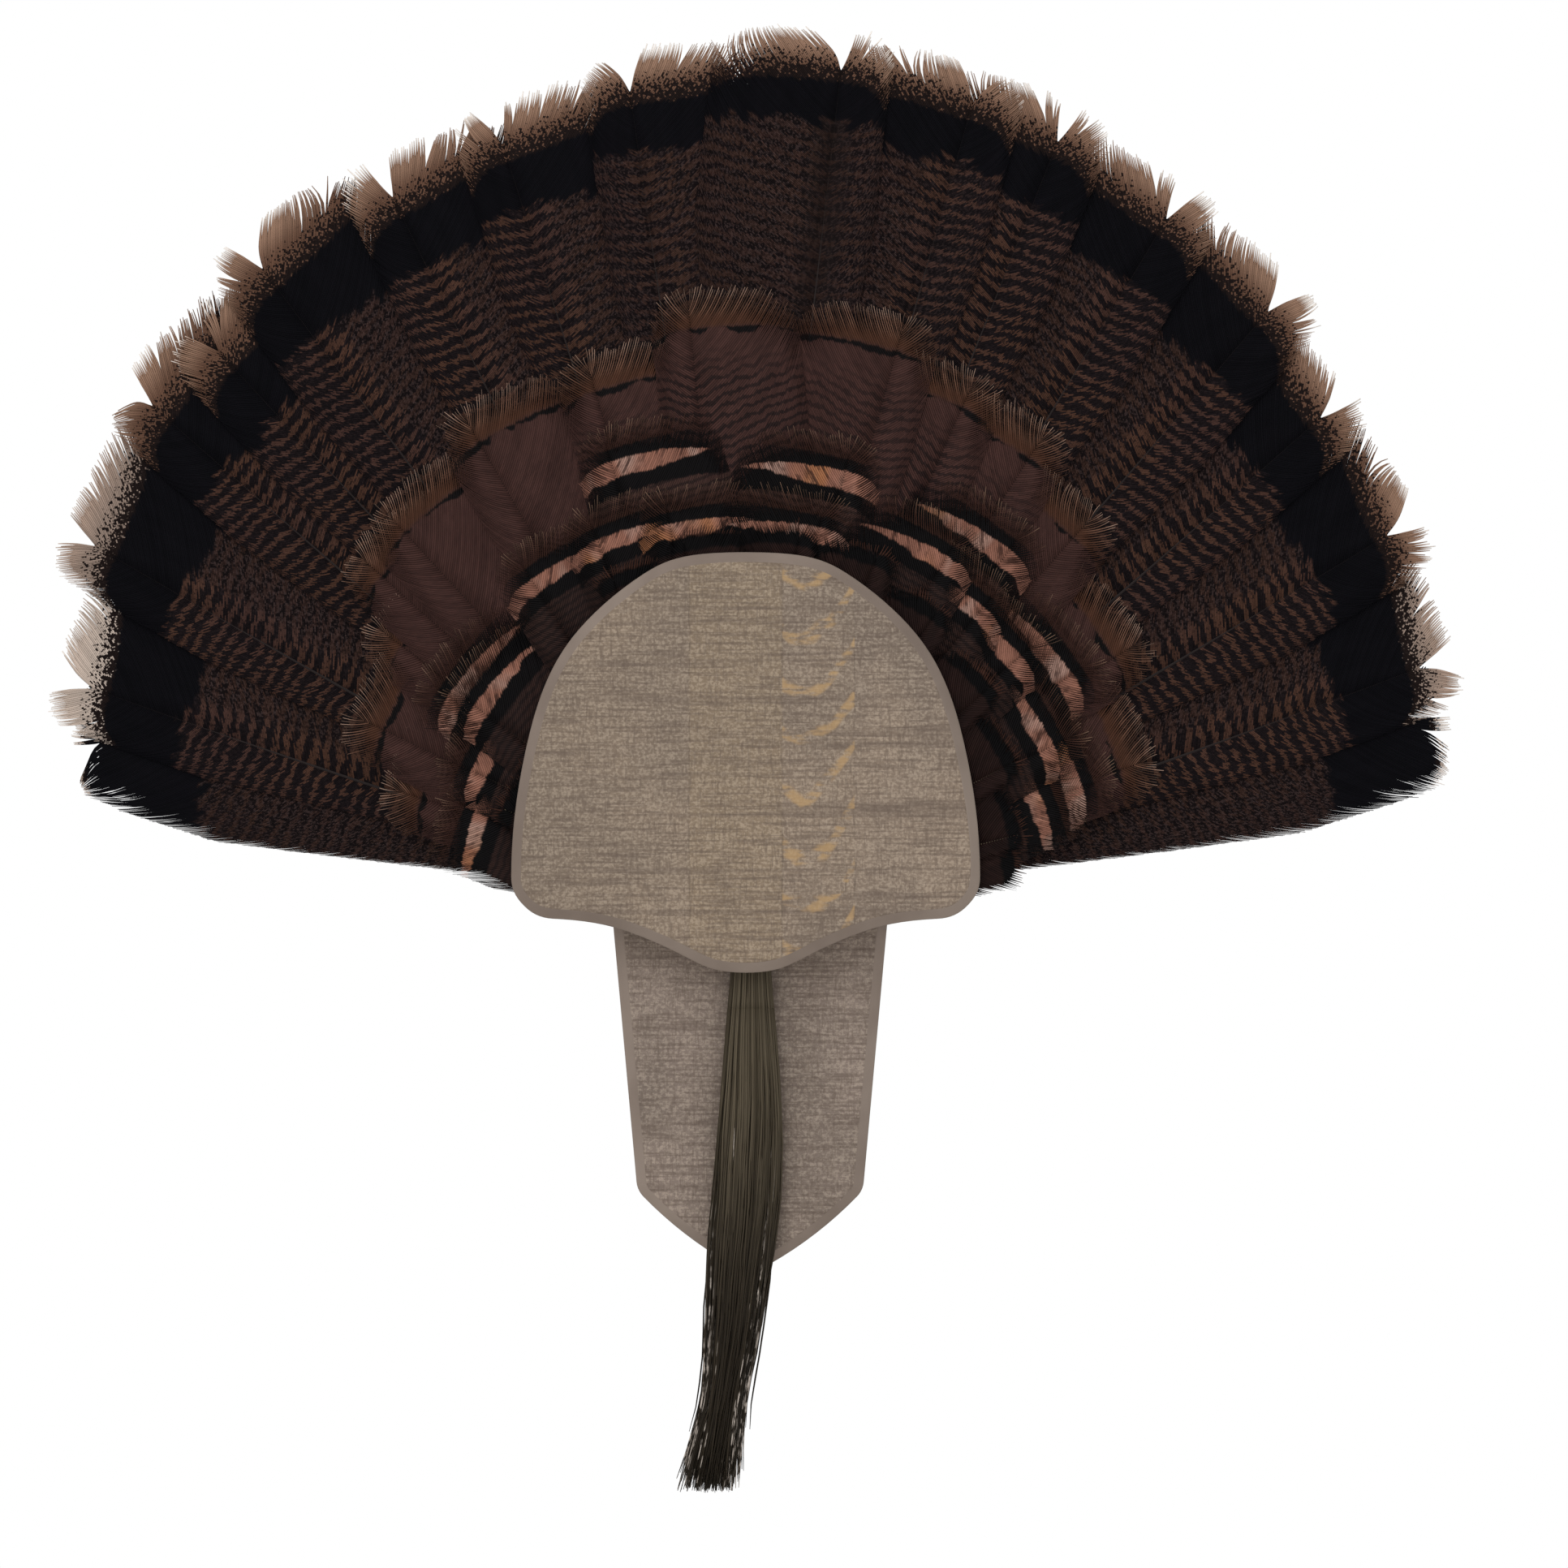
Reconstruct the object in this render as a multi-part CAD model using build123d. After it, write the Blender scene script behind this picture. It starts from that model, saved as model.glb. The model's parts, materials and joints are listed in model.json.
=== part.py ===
from build123d import *
from math import cos, radians, sin
import os

# Turkey tail fan and beard on two wooden panels, for a wall.  Millimetres.
# +X is right, +Z is up and the front faces -Y.  The origin is on the wall face,
# behind the middle of the fan.

# Back panel: a tapering board with a pointed foot
BACK_T = 19.0            # board thickness
BACK_X = 2.0             # its centre line, a little right of the fan's
BACK_TOP = 95.0
BACK_HALF_TOP = 78.0     # half width at the top
BACK_HALF_LOW = 55.7     # half width where the foot begins
BACK_LOW = -151.0
BACK_TIP = -192.6
BACK_BEVEL = 5.0

# Front panel: a domed shield, routed away behind for the fan
FRONT_T = 25.4
FRONT_HALF = 114.3
FRONT_TOP = 162.4
FRONT_TIP = -42.6
FRONT_BEVEL = 5.0
REBATE_DEPTH = 18.4
REBATE_LOW = -14.0       # the panel touches the back panel only below this height
GROOVE_X = 2.4           # centre of the groove that the beard hangs out of
GROOVE_W = 24.0
GROOVE_DEPTH = 14.4

# Fan base: tail quills stand in its arc of sockets
HUB_Z = -8.0             # flat underside of the base and of the skin in front of it
HUB_RX, HUB_RZ = 46.0, 42.0
QUILL_RX, QUILL_RZ = 31.0, 26.0
QUILL_FIRST, QUILL_LAST = 171.0, 9.0     # angles of the outermost sockets
QUILL_R = 1.9
QUILL_FIT = 0.05
QUILL_LENGTH = 80.0      # round part, before the vane
QUILL_Y = -23.7
BASE_BACK = -19.3
SKIN_BACK, SKIN_FRONT = -28.2, -37.2

# Tail feathers: (angle from +X in degrees, reach from the origin), left to right
TAIL = [
    (169.5, 334), (159.3, 353), (148.6, 378), (137.5, 392), (131.0, 386), (124.8, 402),
    (113.7, 397), (104.7, 400), (95.0, 411), (86.3, 420), (76.8, 416), (70.3, 413),
    (60.8, 404), (50.9, 398), (43.0, 381), (32.0, 376), (21.5, 365), (10.8, 349),
]
TAIL_MIDDLE = 9          # the front one, which every other lies behind
TAIL_OUTER, TAIL_INNER = 45.0, 43.0
TAIL_LAST_OUTER = 18.0   # outer web of the two lowest feathers, which nothing lies under
TAIL_BACK = -20.2        # plane of the rearmost vane
TAIL_STEP = 0.45         # each feather further in is this much nearer the front
VANE_T = 0.3
SHAFT_BEHIND, SHAFT_FRONT = 0.5, 0.3
SHAFT_ROOT_W, SHAFT_TIP_W = 2.6, 0.8

# Coverts, in rows from the longest and rearmost to the shortest and frontmost
LONG_COVERTS = [
    (158.5, 182), (151.5, 211), (139.9, 223), (135.0, 252), (129.6, 258), (117.0, 271), (102.8, 271),
    (92.1, 292), (77.6, 290), (69.5, 275), (60.4, 269), (50.8, 252), (36.8, 230), (22.6, 209),
]
MIDDLE_COVERTS = [
    (141.0, 187), (102.7, 233), (81.4, 224), (57.0, 224), (38.5, 205), (22.6, 186),
]
COPPER_COVERTS = [
    (171.1, 152), (150.6, 161), (140.0, 175), (120.0, 199), (107.9, 200), (96.5, 197),
    (83.6, 195), (63.6, 205), (55.0, 195), (45.5, 191), (30.7, 181), (13.3, 165),
]
SHORT_COVERTS = [
    (158.0, 128), (128.0, 140), (110.0, 168), (97.0, 176), (84.0, 178), (71.0, 178),
    (58.0, 168), (43.0, 158), (29.0, 148), (15.0, 140), (3.5, 134),
]
LONG_HALF, MIDDLE_HALF, COPPER_HALF, SHORT_HALF = 36.0, 36.0, 33.0, 19.0
LOW_COVERT_OUTER = 0.5   # share of the outer web left on coverts within LOW_COVERT of level
LOW_COVERT = 14.0
COVERT_STEP = 0.19
COVERT_T = 0.12
COVERT_SHAFT_W = 1.6
COVERT_RX, COVERT_RZ = 26.0, 22.0
ROW_GAP = 0.2

# Beard: a bundle of hair held at the top and free below the front panel
HAIR_BACK, HAIR_T = -19.8, 11.5
KNOB_ROUND = 4.0
SWAY_Z = -46.0           # height of the sideways bend, just under the panel
SWAY_R = 10.0
LIFT_Z = -75.0           # height of the forward bend
UPPER_END = -68.0
BEARD_KNOB_TOP, BEARD_KNOB_LOW = -15.0, -35.5
# Lower hair: (height, centre, half width, half depth), from the forward bend to the tips
HAIR_SECTIONS = [
    (-69.0, 2.0, 11.9, 5.75), (-123.0, 1.8, 15.3, 5.75), (-187.0, -3.0, 14.5, 5.3),
    (-250.0, -10.2, 10.0, 4.6), (-296.0, -17.3, 13.0, 3.6),
]

# Fasteners
SCREW_R, SCREW_HEAD_R, SCREW_HEAD_T, SCREW_L = 1.9, 3.9, 2.6, 32.0
SCREW_SINK = 0.5
PANEL_SCREWS = [(BACK_X - 38.0, -23.0), (BACK_X + 38.0, -23.0)]
FAN_SCREWS = [(-15.0, 2.0), (15.0, 2.0)]
BEARD_SCREW_Z = -24.0
BEARD_SCREW_R, BEARD_SCREW_HEAD_R, BEARD_SCREW_HEAD_T, BEARD_SCREW_L = 1.6, 3.4, 1.8, 24.0

# Sawtooth hanger, set into the back
HANGER_Z = 76.0
HANGER_W, HANGER_H, HANGER_T = 48.0, 11.0, 1.0
HANGER_LEDGE = 2.2       # depth of the recess that it lies in
HANGER_TEETH, TOOTH_H = 9, 2.0
POCKET_W, POCKET_H, POCKET_DEPTH = 30.0, 22.0, 8.0
NAIL_R, NAIL_HEAD_R, NAIL_HEAD_T, NAIL_L = 0.8, 2.0, 0.8, 13.0
NAIL_X = 20.5


def front_plane(y, x=0.0, z=0.0, along=90.0):
    """A plane facing the front at depth y, with its own x running along an angle from +X."""
    return Plane(origin=(x, y, z), x_dir=(cos(radians(along)), 0, sin(radians(along))), z_dir=(0, -1, 0))


def upright(y):
    """The plane facing the front at depth y whose x is +X and whose y is +Z."""
    return Plane(origin=(0, y, 0), x_dir=(1, 0, 0), z_dir=(0, -1, 0))


def mirrored(points, centre=0.0):
    return [(2 * centre - x, z) for x, z in reversed(points)]


def slab(face, y, depth):
    """A flat outline, drawn in X and Z, with its back at y and its front depth nearer."""
    return extrude(upright(y) * face, depth)


def block(x0, x1, y0, y1, z0, z1):
    size = (x1 - x0, y1 - y0, z1 - z0)
    return Pos((x0 + x1) / 2, (y0 + y1) / 2, (z0 + z1) / 2) * Box(*size)


def rod(start, end, r0, r1):
    """A round rod between two points, tapering from r0 to r1."""
    path = Vector(*end) - Vector(*start)
    plane = Plane(origin=start, z_dir=path)
    shape = Cylinder(r0, path.length) if r0 == r1 else Cone(r0, r1, path.length)
    return plane * Pos(0, 0, path.length / 2) * shape


def bevelled(solid, front_y, size):
    edges = solid.edges().filter_by(lambda e: abs(e.center().Y - front_y) < 0.01)
    return chamfer(edges, size)


def arc_point(angle, rx, rz):
    return rx * cos(radians(angle)), HUB_Z + rz * sin(radians(angle))


def half_oval(rx, rz):
    return Pos(0, HUB_Z) * Ellipse(rx, rz) & Pos(0, HUB_Z + rz / 2) * Rectangle(2 * rx, rz)


# ---- the two panels --------------------------------------------------------

def front_outline():
    dome = [(-FRONT_HALF, 4.0), (-107.0, 67.0), (-87.0, 117.5), (-51.0, 151.0), (0.0, FRONT_TOP)]
    corner = (-94.0, -16.3)
    foot = [corner, (-66.0, -20.0), (-28.0, -35.5), (0.0, FRONT_TIP)]
    rise = Spline(dome, tangents=[(0, 1), (1, 0)])
    turn = Spline([dome[0], (-109.0, -9.0), corner], tangents=[(0, -1), (1, -0.05)])
    ogee = Spline(foot, tangents=[(1, -0.05), (1, 0)])
    left = [rise, turn, ogee]
    right = [mirror(edge, about=Plane.YZ) for edge in left]
    return make_face(left + right)


def back_outline():
    side_low = (BACK_HALF_LOW, BACK_LOW)
    side = Polyline([(0, BACK_TOP), (BACK_HALF_TOP, BACK_TOP), side_low])
    hollow = ThreePointArc(side_low, (31.5, -173.0), (0, BACK_TIP))
    half = [side, hollow]
    outline = make_face(half + [mirror(edge, about=Plane.YZ) for edge in half])
    points = outline.vertices()
    outline = fillet(points.filter_by(lambda v: v.Y > BACK_TOP - 1 and abs(v.X) > 1), 40.0)
    points = outline.vertices()
    outline = fillet(points.filter_by(lambda v: abs(v.Y - BACK_LOW) < 1), 12.0)
    tip = outline.vertices().sort_by(Axis.Y)[0]
    return Pos(BACK_X, 0) * fillet(tip, 9.0)


def screw_hole(x, z, radius):
    return rod((x, 1, z), (x, -SCREW_L - SCREW_SINK, z), radius, radius)


def head_sink(x, z):
    cone = rod((x, -SCREW_SINK, z), (x, -SCREW_SINK - SCREW_HEAD_T, z), SCREW_HEAD_R, SCREW_R)
    return cone + rod((x, 1, z), (x, -SCREW_SINK, z), SCREW_HEAD_R, SCREW_HEAD_R)


def front_panel():
    back = -BACK_T
    face = back - FRONT_T
    panel = bevelled(slab(front_outline(), back, FRONT_T), face, FRONT_BEVEL)
    wide = FRONT_HALF + 10
    panel -= block(-wide, wide, back - REBATE_DEPTH, back + 1, REBATE_LOW, FRONT_TOP + 10)
    half = GROOVE_W / 2
    panel -= block(GROOVE_X - half, GROOVE_X + half, back - GROOVE_DEPTH, back + 1, FRONT_TIP - 5, REBATE_LOW)
    for x, z in PANEL_SCREWS:
        panel -= screw_hole(x, z, SCREW_R)
    return panel


def back_panel():
    panel = bevelled(slab(back_outline(), 0, BACK_T), -BACK_T, BACK_BEVEL)
    half, tall = HANGER_W / 2 + 1, HANGER_H / 2 + 1
    panel -= block(BACK_X - half, BACK_X + half, -HANGER_LEDGE, 1, HANGER_Z - tall, HANGER_Z + tall)
    half = POCKET_W / 2
    panel -= block(BACK_X - half, BACK_X + half, -POCKET_DEPTH, 1, HANGER_Z + tall - POCKET_H, HANGER_Z + tall)
    for x, z in PANEL_SCREWS + FAN_SCREWS:
        panel -= screw_hole(x, z, SCREW_R)
        panel -= head_sink(x, z)
    panel -= rod((GROOVE_X, -BACK_T, BEARD_SCREW_Z), beard_screw_end(), BEARD_SCREW_R, BEARD_SCREW_R)
    for x in nail_places():
        panel -= rod((x, 0, HANGER_Z), (x, nail_top() - NAIL_L, HANGER_Z), NAIL_R, NAIL_R)
    return panel


# ---- feathers --------------------------------------------------------------

def order_from_middle(count, middle):
    """Rank of each feather: 0 for the middle one, rising outwards and alternating sides."""
    outward = sorted(range(count), key=lambda i: (abs(i - middle), i))
    return {feather: rank for rank, feather in enumerate(outward)}


def blade(length, start, left, right):
    """Flat vane outline along +X: it widens from its root and ends in a broad flat tip."""
    shoulder = length - 0.6 * max(left, right)
    root_left, root_right = 0.32 * left, 0.32 * right
    tip = Spline([(shoulder, left), (length, 0), (shoulder, -right)], tangents=[(1, 0), (-1, 0)])
    sides = Polyline([(shoulder, -right), (start, -root_right), (start, root_left), (shoulder, left)])
    return make_face([tip, sides])


def shaft_outline(start, end, wide, narrow):
    return make_face(Polyline([(start, -wide / 2), (end, -narrow / 2), (end, narrow / 2),
                               (start, wide / 2)], close=True))


def aim(foot, angle, reach):
    """Direction and length from a quill's foot to a tip at the given polar place."""
    tip = Vector(reach * cos(radians(angle)) - foot[0], reach * sin(radians(angle)) - foot[1])
    return Vector(1, 0).get_signed_angle(tip, Vector(0, 0, 1)), tip.length


def tail_aim(index):
    """Foot, direction and length of a tail feather: the sockets are evenly spaced."""
    step = (QUILL_LAST - QUILL_FIRST) / (len(TAIL) - 1)
    foot = arc_point(QUILL_FIRST + step * index, QUILL_RX, QUILL_RZ)
    return foot, *aim(foot, *TAIL[index])


def tail_plane(index):
    rank = order_from_middle(len(TAIL), TAIL_MIDDLE)[index]
    return TAIL_BACK - TAIL_STEP * (len(TAIL) - 1 - rank)


def quill(index, clearance=0.0):
    (x, z), along, _ = tail_aim(index)
    end_x = x + QUILL_LENGTH * cos(radians(along))
    end_z = z + QUILL_LENGTH * sin(radians(along))
    radius = QUILL_R + clearance
    return rod((x, QUILL_Y, z), (end_x, tail_plane(index), end_z), radius, radius / 4)


def tail_feather(index):
    (x, z), along, length = tail_aim(index)
    outer = TAIL_LAST_OUTER if index in (0, len(TAIL) - 1) else TAIL_OUTER
    if index < TAIL_MIDDLE:
        left, right = outer, TAIL_INNER
    else:
        left, right = TAIL_INNER, outer
    plane = front_plane(tail_plane(index), x, z, along)
    vane = extrude(plane * blade(length, QUILL_LENGTH + 8, left, right), VANE_T)
    strip = shaft_outline(QUILL_LENGTH - 5, length - 12, SHAFT_ROOT_W, SHAFT_TIP_W)
    shaft = extrude(plane.offset(-SHAFT_BEHIND) * strip, SHAFT_BEHIND + SHAFT_FRONT)
    return vane + shaft + quill(index)


def row_back(row):
    """Depth of the rearmost plane of a covert row."""
    rows = [LONG_COVERTS, MIDDLE_COVERTS, COPPER_COVERTS, SHORT_COVERTS]
    before = rows[:row]
    return SKIN_BACK - ROW_GAP * (row + 1) - COVERT_STEP * sum(len(r) for r in before)


def covert(angle, reach, half, y):
    """One covert: a thin vane on a narrow shaft that runs down into the skin."""
    x, z = arc_point(angle, COVERT_RX, COVERT_RZ)
    along, length = aim((x, z), angle, reach)
    plane = front_plane(y, x, z, along)
    start = max(0.3 * length, 34.0)
    left = half * LOW_COVERT_OUTER if angle > 180 - LOW_COVERT else half
    right = half * LOW_COVERT_OUTER if angle < LOW_COVERT else half
    vane = blade(length, start, left, right)
    strip = shaft_outline(0, start + 5, COVERT_SHAFT_W, COVERT_SHAFT_W)
    return extrude(plane * (vane + strip), COVERT_T)


def covert_row(feathers, half, row, middle):
    ranks = order_from_middle(len(feathers), middle)
    last = len(feathers) - 1
    return [covert(angle, reach, half, row_back(row) - COVERT_STEP * (last - ranks[i]))
            for i, (angle, reach) in enumerate(feathers)]


# ---- fan base and skin -----------------------------------------------------

def fan_base():
    base = slab(half_oval(HUB_RX, HUB_RZ), BASE_BACK, BASE_BACK - SKIN_BACK - 0.1)
    for i in range(len(TAIL)):
        base -= quill(i, QUILL_FIT)
    for x, z in FAN_SCREWS:
        base -= screw_hole(x, z, SCREW_R)
    return base


def covert_skin(coverts):
    skin = slab(half_oval(HUB_RX - 2, HUB_RZ - 2), SKIN_BACK, SKIN_BACK - SKIN_FRONT)
    for x, z in FAN_SCREWS:
        skin -= screw_hole(x, z, SCREW_R)
    return skin - coverts


# ---- beard -----------------------------------------------------------------

def beard_screw_end():
    return GROOVE_X, -BACK_T - HAIR_T + BEARD_SCREW_L, BEARD_SCREW_Z


def beard_base():
    half = GROOVE_W / 2 - 2
    back = -BACK_T - 0.05
    knob = block(GROOVE_X - half, GROOVE_X + half, -BACK_T - HAIR_T, back, BEARD_KNOB_LOW, BEARD_KNOB_TOP)
    knob = fillet(knob.edges().filter_by(Axis.Z), KNOB_ROUND)
    return knob - rod((GROOVE_X, -BACK_T - HAIR_T - 1, BEARD_SCREW_Z), (GROOVE_X, 0, BEARD_SCREW_Z),
                      BEARD_SCREW_R, BEARD_SCREW_R)


def hair_middle():
    """Depth of the hair's middle, where both of its bends are."""
    return HAIR_BACK - HAIR_T / 2


def beard_hair_upper():
    """The top of the free hair, with a round end that can turn in the groove."""
    cap = Pos(GROOVE_X, SWAY_Z) * Circle(SWAY_R)
    low_left, low_right = (-9.3, UPPER_END), (13.6, UPPER_END)
    sides = [(GROOVE_X - SWAY_R, SWAY_Z), (GROOVE_X + SWAY_R, SWAY_Z), low_right, low_left]
    return slab(cap + make_face(Polyline(sides, close=True)), HAIR_BACK, HAIR_T)


def beard_hair_lower():
    """Oval sections down to the tips, with the top rounded off about the forward bend."""
    sections = [Pos(x, hair_middle(), z) * Ellipse(half, deep) for z, x, half, deep in HAIR_SECTIONS]
    hair = loft(sections)
    below = LIFT_Z - HAIR_SECTIONS[-1][0] + 5
    side = Circle(HAIR_T / 2) + Pos(0, -below / 2) * Rectangle(HAIR_T + 2, below)
    across = Plane(origin=(GROOVE_X, hair_middle(), LIFT_Z), x_dir=(0, 1, 0), z_dir=(1, 0, 0))
    return hair & extrude(across * side, 60, both=True)


def beard_screw():
    head_y = -BACK_T - HAIR_T
    shank = rod((GROOVE_X, head_y, BEARD_SCREW_Z), beard_screw_end(), BEARD_SCREW_R, BEARD_SCREW_R)
    head = rod((GROOVE_X, head_y - BEARD_SCREW_HEAD_T, BEARD_SCREW_Z), (GROOVE_X, head_y, BEARD_SCREW_Z),
               0.6 * BEARD_SCREW_HEAD_R, BEARD_SCREW_HEAD_R)
    return shank + head


# ---- fasteners and hanger --------------------------------------------------

def wood_screw(x, z):
    top = -SCREW_SINK
    head = rod((x, top, z), (x, top - SCREW_HEAD_T, z), SCREW_HEAD_R, SCREW_R)
    shank = rod((x, top - SCREW_HEAD_T, z), (x, top - SCREW_L, z), SCREW_R, SCREW_R)
    slot = block(x - 0.5, x + 0.5, top - 1.2, top + 1, z - 2.6, z + 2.6)
    cross = block(x - 2.6, x + 2.6, top - 1.2, top + 1, z - 0.5, z + 0.5)
    return head + shank - slot - cross


def nail_places():
    return BACK_X - NAIL_X, BACK_X + NAIL_X


def nail_top():
    """Depth of the hanger's outer face, under the nail heads."""
    return -HANGER_LEDGE + HANGER_T


def sawtooth_hanger():
    low, high = HANGER_Z - HANGER_H / 2, HANGER_Z + HANGER_H / 2
    hanger = block(BACK_X - HANGER_W / 2, BACK_X + HANGER_W / 2, -HANGER_LEDGE, nail_top(), low, high)
    pitch = (POCKET_W - 4) / HANGER_TEETH
    for i in range(HANGER_TEETH):
        x = BACK_X + (i - (HANGER_TEETH - 1) / 2) * pitch
        notch = Polyline([(x - pitch / 2, low - 0.1), (x, low + TOOTH_H), (x + pitch / 2, low - 0.1)], close=True)
        hanger -= slab(make_face(notch), nail_top() + 1, HANGER_T + 2)
    for x in nail_places():
        hanger -= rod((x, 1, HANGER_Z), (x, -HANGER_LEDGE - 1, HANGER_Z), NAIL_R, NAIL_R)
    return hanger


def hanger_nail(x):
    head = rod((x, nail_top() + NAIL_HEAD_T, HANGER_Z), (x, nail_top(), HANGER_Z), NAIL_HEAD_R, NAIL_HEAD_R)
    return head + rod((x, nail_top(), HANGER_Z), (x, nail_top() - NAIL_L, HANGER_Z), NAIL_R, NAIL_R)


def all_pieces():
    """Every node's name with its solids."""
    long_row = covert_row(LONG_COVERTS, LONG_HALF, 0, 7)
    middle_row = covert_row(MIDDLE_COVERTS, MIDDLE_HALF, 1, 2)
    copper_row = covert_row(COPPER_COVERTS, COPPER_HALF, 2, 6)
    short_row = covert_row(SHORT_COVERTS, SHORT_HALF, 3, 5)
    pieces = {
        "front_panel": [front_panel()],
        "back_panel": [back_panel()],
        "fan_base": [fan_base()],
        "covert_skin": [covert_skin(long_row + middle_row + copper_row + short_row)],
        "short_coverts": short_row,
        "panel_screws": [wood_screw(x, z) for x, z in PANEL_SCREWS],
        "fan_screws": [wood_screw(x, z) for x, z in FAN_SCREWS],
        "beard_base": [beard_base()],
        "beard_screw": [beard_screw()],
        "beard_hair_upper": [beard_hair_upper()],
        "beard_hair_lower": [beard_hair_lower()],
        "sawtooth_hanger": [sawtooth_hanger()],
        "hanger_nails": [hanger_nail(x) for x in nail_places()],
    }
    for i in range(len(TAIL)):
        pieces[f"tail_feather_{i + 1:02d}"] = [tail_feather(i)]
    for i, feather in enumerate(long_row):
        pieces[f"long_covert_{i + 1:02d}"] = [feather]
    for i, feather in enumerate(middle_row):
        pieces[f"middle_covert_{i + 1}"] = [feather]
    for i in range(0, len(copper_row), 2):
        pieces[f"copper_covert_pair_{i // 2 + 1}"] = copper_row[i:i + 2]
    return pieces


os.makedirs("parts", exist_ok=True)
for name, solids in all_pieces().items():
    export_step(Compound(label=name, children=solids), f"parts/{name}.step")
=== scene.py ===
"""Looks for a turkey tail fan and beard mounted on two rough-sawn wooden panels."""
import bpy
import numpy as np
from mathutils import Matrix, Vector
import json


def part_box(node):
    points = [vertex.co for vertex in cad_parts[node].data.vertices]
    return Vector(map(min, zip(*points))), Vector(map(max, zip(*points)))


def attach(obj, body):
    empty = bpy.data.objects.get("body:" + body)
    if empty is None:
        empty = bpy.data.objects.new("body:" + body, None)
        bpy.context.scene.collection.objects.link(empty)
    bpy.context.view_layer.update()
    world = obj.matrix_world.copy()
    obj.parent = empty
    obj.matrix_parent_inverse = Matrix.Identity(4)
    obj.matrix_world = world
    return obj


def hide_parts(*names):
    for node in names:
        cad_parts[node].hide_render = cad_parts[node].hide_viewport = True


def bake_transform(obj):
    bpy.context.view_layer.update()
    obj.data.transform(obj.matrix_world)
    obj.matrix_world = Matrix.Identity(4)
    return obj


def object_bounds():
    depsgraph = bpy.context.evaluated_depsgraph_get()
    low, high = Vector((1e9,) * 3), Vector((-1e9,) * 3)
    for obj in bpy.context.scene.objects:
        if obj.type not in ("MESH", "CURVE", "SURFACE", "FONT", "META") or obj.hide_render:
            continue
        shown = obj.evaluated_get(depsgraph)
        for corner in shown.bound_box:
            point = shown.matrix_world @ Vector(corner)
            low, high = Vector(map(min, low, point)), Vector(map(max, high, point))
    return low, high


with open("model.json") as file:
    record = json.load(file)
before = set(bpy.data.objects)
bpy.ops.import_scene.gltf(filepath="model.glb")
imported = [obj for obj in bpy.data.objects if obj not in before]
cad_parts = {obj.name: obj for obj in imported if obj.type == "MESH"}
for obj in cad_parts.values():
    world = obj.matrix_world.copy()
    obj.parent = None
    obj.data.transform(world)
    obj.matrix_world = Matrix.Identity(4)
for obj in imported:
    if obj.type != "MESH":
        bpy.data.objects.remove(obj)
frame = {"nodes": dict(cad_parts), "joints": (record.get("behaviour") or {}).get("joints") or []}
cad_low, cad_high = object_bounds()
MM = 0.001
NODES = frame["nodes"]
FRONT = np.array([0.0, -1.0, 0.0])
# Attributes that every hair and feather mesh carries for its material:
#   vane     mm along the shaft, mm aside of it (outer web positive), mm short of the tip line
#   barb     the barb's number, mm along the barb, a random share for each barb
#   kind     constants of one feather, told with its material
#   tipping  constants of a tail feather's end bands
TRAITS = ("vane", "barb", "kind", "tipping")


# ---- small helpers ---------------------------------------------------------

def linear(code):
    """An sRGB hex colour as linear RGBA."""
    parts = [int(code[i:i + 2], 16) / 255 for i in (1, 3, 5)]
    return tuple(c / 12.92 if c <= 0.04045 else ((c + 0.055) / 1.055) ** 2.4 for c in parts) + (1.0,)


def add(tree, kind, inputs=None, out=0, **settings):
    """Adds one node, sets its properties, links or fills its inputs, and returns one of its outputs."""
    node = tree.nodes.new("ShaderNode" + kind)
    for key, value in settings.items():
        setattr(node, key, value)
    for key, value in (inputs or {}).items():
        if isinstance(value, bpy.types.NodeSocket):
            tree.links.new(value, node.inputs[key])
        else:
            node.inputs[key].default_value = value
    return node.outputs[out]


def material(name, **fixed):
    """A new principled material: its node tree and its shader node."""
    made = bpy.data.materials.new(name)
    made.use_nodes = True
    shader = made.node_tree.nodes["Principled BSDF"]
    for key, value in fixed.items():
        shader.inputs[key.replace("_", " ").title().replace("Ior", "IOR")].default_value = value
    return made, made.node_tree, shader


def calc(tree, operation, a, b=0.0):
    return add(tree, "Math", {0: a, 1: b}, operation=operation)


def times(tree, a, b):
    return calc(tree, "MULTIPLY", a, b)


def plus(tree, a, b):
    return calc(tree, "ADD", a, b)


def minus(tree, a, b):
    return calc(tree, "SUBTRACT", a, b)


def swing(tree, pattern, reach):
    """A pattern of 0 to 1, centred on zero and spread over reach."""
    return times(tree, minus(tree, pattern, 0.5), reach)


def ripples(tree, place, pitch):
    """A sine of -1 to 1 that repeats every pitch."""
    return calc(tree, "SINE", times(tree, place, 2 * np.pi / pitch))


def step(tree, value, low, high, start=0.0, end=1.0):
    """Smooth rise from start to end as value goes from low to high."""
    places = {"Value": value, 1: low, 2: high, 3: start, 4: end}
    return add(tree, "MapRange", places, interpolation_type="SMOOTHSTEP")


def mix(tree, share, a, b, blend="MIX"):
    """Colour a turning to b as share goes from 0 to 1; either may be a hex code or a socket."""
    a, b = (linear(colour) if isinstance(colour, str) else colour for colour in (a, b))
    return add(tree, "Mix", {0: share, 6: a, 7: b}, out=2, data_type="RGBA", blend_type=blend)


def noise(tree, vector, scale=1.0, detail=2.0, rough=0.5):
    return add(tree, "TexNoise", {"Vector": vector, "Scale": scale, "Detail": detail, "Roughness": rough})


def stretched(tree, vector, by):
    return add(tree, "Mapping", {0: vector, 3: by})


def bump(tree, shader, height, distance, strength=1.0, normal=None):
    places = {"Height": height, "Distance": distance, "Strength": strength}
    if normal is not None:
        places["Normal"] = normal
    tree.links.new(add(tree, "Bump", places), shader.inputs["Normal"])


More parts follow.
